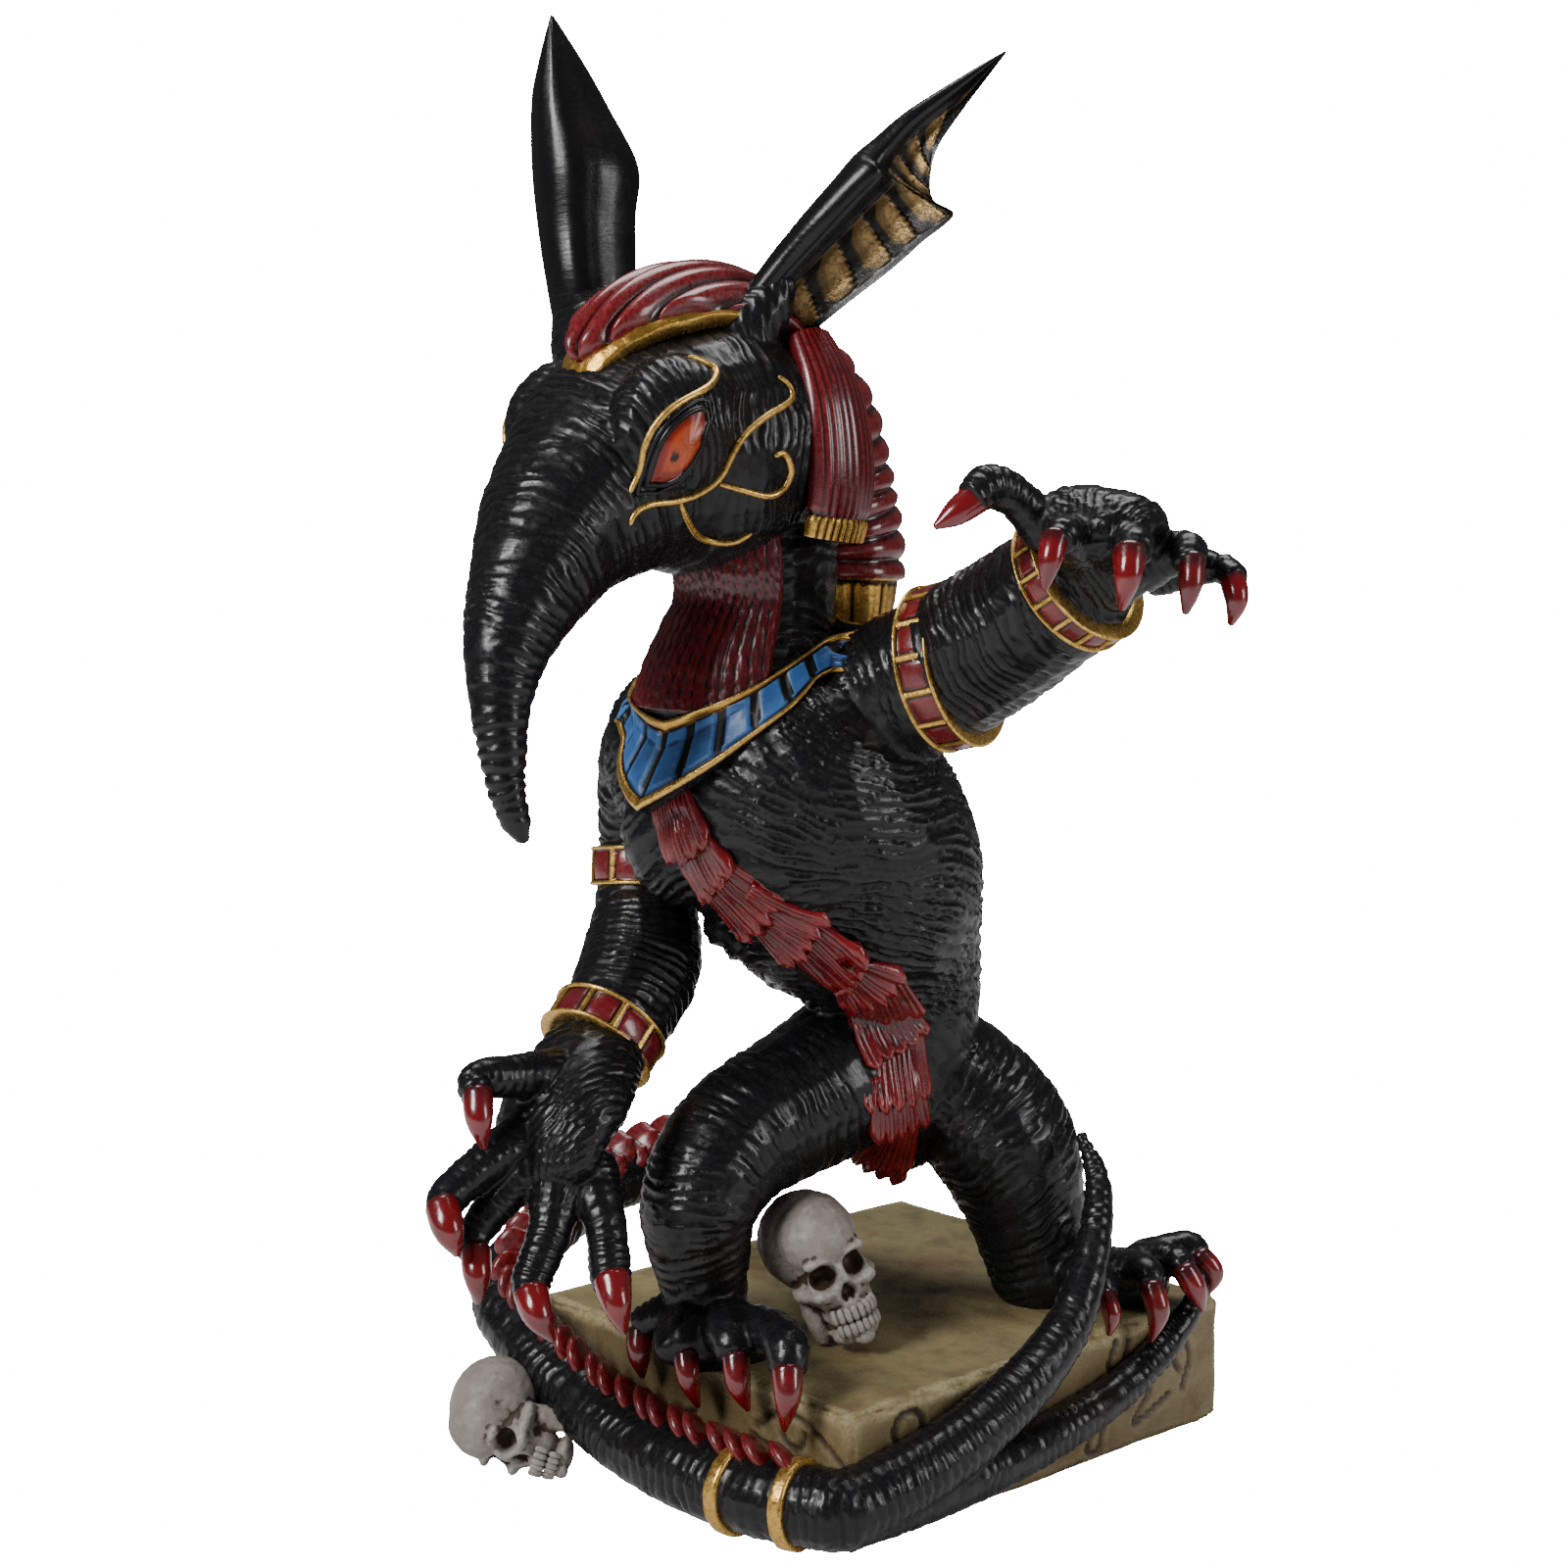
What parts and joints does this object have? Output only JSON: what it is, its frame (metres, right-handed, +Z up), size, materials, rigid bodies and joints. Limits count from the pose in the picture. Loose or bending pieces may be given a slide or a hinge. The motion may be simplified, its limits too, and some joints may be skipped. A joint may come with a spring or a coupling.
{
  "type": "cast resin figurine",
  "caption": "Painted figurine of a long-eared, long-snouted animal-headed figure astride a carved slab, with a forked tail, clawed hands and feet, jewellery and skulls.",
  "frame": {"origin": "middle of the slab's underside", "axes": "+Z up; the slab's front side, with the carved eye, faces -Y, and its right side faces +X; the figure looks between -Y and +X's opposite, over the slab's front left corner"},
  "size_m": [0.1385, 0.1382, 0.2538],
  "materials": {
    "stone": "cast resin painted as weathered olive-tan stone, with dark carved lines",
    "skin": "cast resin, semi-gloss black skin with crimson, antique gold and blue painted ornament",
    "bone": "cast resin painted as old bone with a brown wash"
  },
  "bodies": {
    "root": {"plinth": "stone", "seth_figure": "skin", "skull_on_plinth": "bone", "skull_beside_plinth": "bone"}
  },
  "joints": []
}
